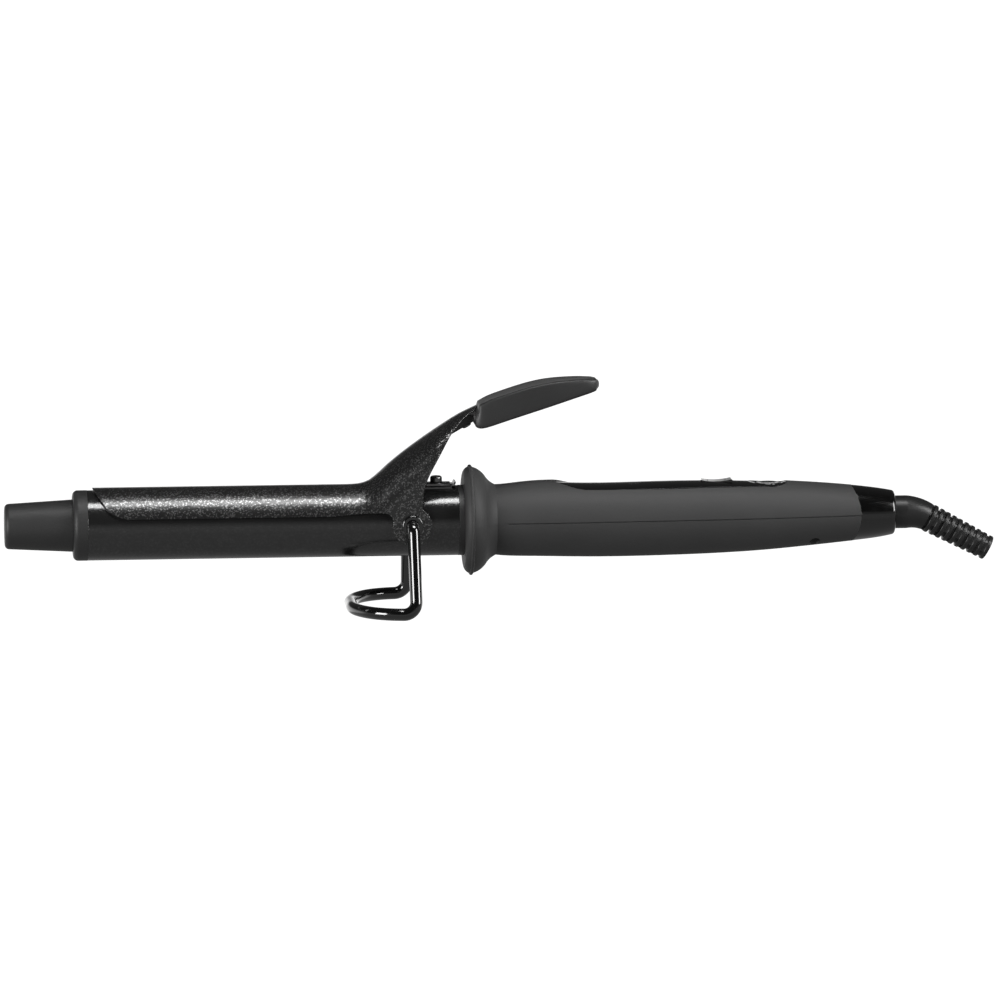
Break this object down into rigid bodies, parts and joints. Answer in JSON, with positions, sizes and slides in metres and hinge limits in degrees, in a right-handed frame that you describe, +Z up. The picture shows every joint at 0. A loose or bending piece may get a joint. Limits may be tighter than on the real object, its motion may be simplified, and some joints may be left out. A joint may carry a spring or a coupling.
{
  "type": "curling iron",
  "caption": "Curling iron with a coated barrel, sprung clamp with thumb lever, folding wire stand, round guard, tapered handle with a button panel, and a swivelling ribbed cord relief.",
  "frame": {"origin": "centre of the cool tip's front face, on the barrel's axis", "axes": "+X along the barrel from the tip to the cord end, +Z up towards the thumb lever, +Y across, along the hinge of the clamp and the stand"},
  "size_m": [0.3664, 0.0594, 0.0856],
  "materials": {
    "tip_plastic": "heat-resistant matt black plastic",
    "bright_steel": "plain steel",
    "dark_steel": "blackened steel",
    "barrel_coating": "dark coating with fine silver flecks, satin gloss",
    "clamp_coating": "dark coating with coarse silver flecks, satin gloss",
    "ceramic": "white heating ceramic",
    "aluminium": "plain aluminium",
    "bead_glass": "amber glass bead",
    "socket_plastic": "matt black heat-resistant plastic",
    "soft_touch": "soft-touch charcoal",
    "gloss_black": "glossy black",
    "smoked_lens": "smoked glossy lens",
    "board_green": "green glass-fibre board",
    "switch_plastic": "black moulded parts",
    "swivel_plastic": "pale engineering plastic",
    "brass": "bright brass",
    "relief_rubber": "satin black flexible plastic",
    "lead_sleeve": "woven glass sleeving over copper",
    "gloss_enamel": "glossy black enamel",
    "rest_plastic": "satin black plastic",
    "spring_steel": "blackened spring steel"
  },
  "bodies": {
    "iron": {"cool_tip": "tip_plastic", "tip_collar": "tip_plastic", "barrel_end_cap": "bright_steel", "tip_screw": "dark_steel", "barrel_tube": "barrel_coating", "heater_plate": "ceramic", "heat_spreader_upper": "aluminium", "heat_spreader_lower": "aluminium", "spreader_springs": "bright_steel", "thermistor": "bead_glass", "thermal_fuse": "aluminium", "barrel_socket": "socket_plastic", "guard_disc": "soft_touch", "handle_upper": "soft_touch", "handle_lower": "soft_touch", "handle_screws": "dark_steel", "end_ring": "gloss_black", "control_panel": "gloss_black", "display_lens": "smoked_lens", "circuit_board": "board_green", "tact_switches": "switch_plastic", "display_module": "switch_plastic", "board_components": "switch_plastic", "contact_block": "swivel_plastic", "brush_contacts": "brass", "heater_leads": "lead_sleeve", "sensor_leads": "lead_sleeve", "mains_leads": "lead_sleeve", "pivot_bushes": "gloss_enamel", "leaf_spring": "spring_steel", "spring_washer": "dark_steel", "spring_screw": "dark_steel"},
    "clamp": {"clamp_plate": "clamp_coating", "thumb_rest": "rest_plastic", "thumb_rivet": "dark_steel"},
    "stand": {"stand_wire": "gloss_enamel"},
    "power_key": {"power_button": "gloss_black"},
    "rocker_key": {"temp_rocker": "gloss_black"},
    "cord_swivel": {"swivel_core": "swivel_plastic", "slip_rings": "brass", "strain_relief": "relief_rubber"}
  },
  "joints": [
    {"name": "clamp_open", "type": "hinge", "parent": "iron", "child": "clamp", "pos_m": [0.1498, 0, 0], "axis": [0, 1, 0], "range_deg": [0, 20], "stiffness_Nm_per_rad": 0.15, "springref_deg": -34.38, "deforming": ["leaf_spring"]},
    {"name": "stand_swing", "type": "hinge", "parent": "iron", "child": "stand", "pos_m": [0.1498, 0, 0], "axis": [0, 1, 0], "range_deg": [-98, 28]},
    {"name": "rocker_tilt", "type": "hinge", "parent": "iron", "child": "rocker_key", "pos_m": [0.2635, 0, 0.009], "axis": [0, 1, 0], "range_deg": [-4, 4], "stiffness_Nm_per_rad": 0.02},
    {"name": "power_press", "type": "slide", "parent": "iron", "child": "power_key", "axis": [0, 0, -1], "range_m": [0, 0.0006], "stiffness_N_per_m": 1500},
    {"name": "cord_turn", "type": "hinge", "parent": "iron", "child": "cord_swivel", "pos_m": [0.33, 0, 0.0006], "axis": [1, 0, 0], "continuous": true}
  ]
}
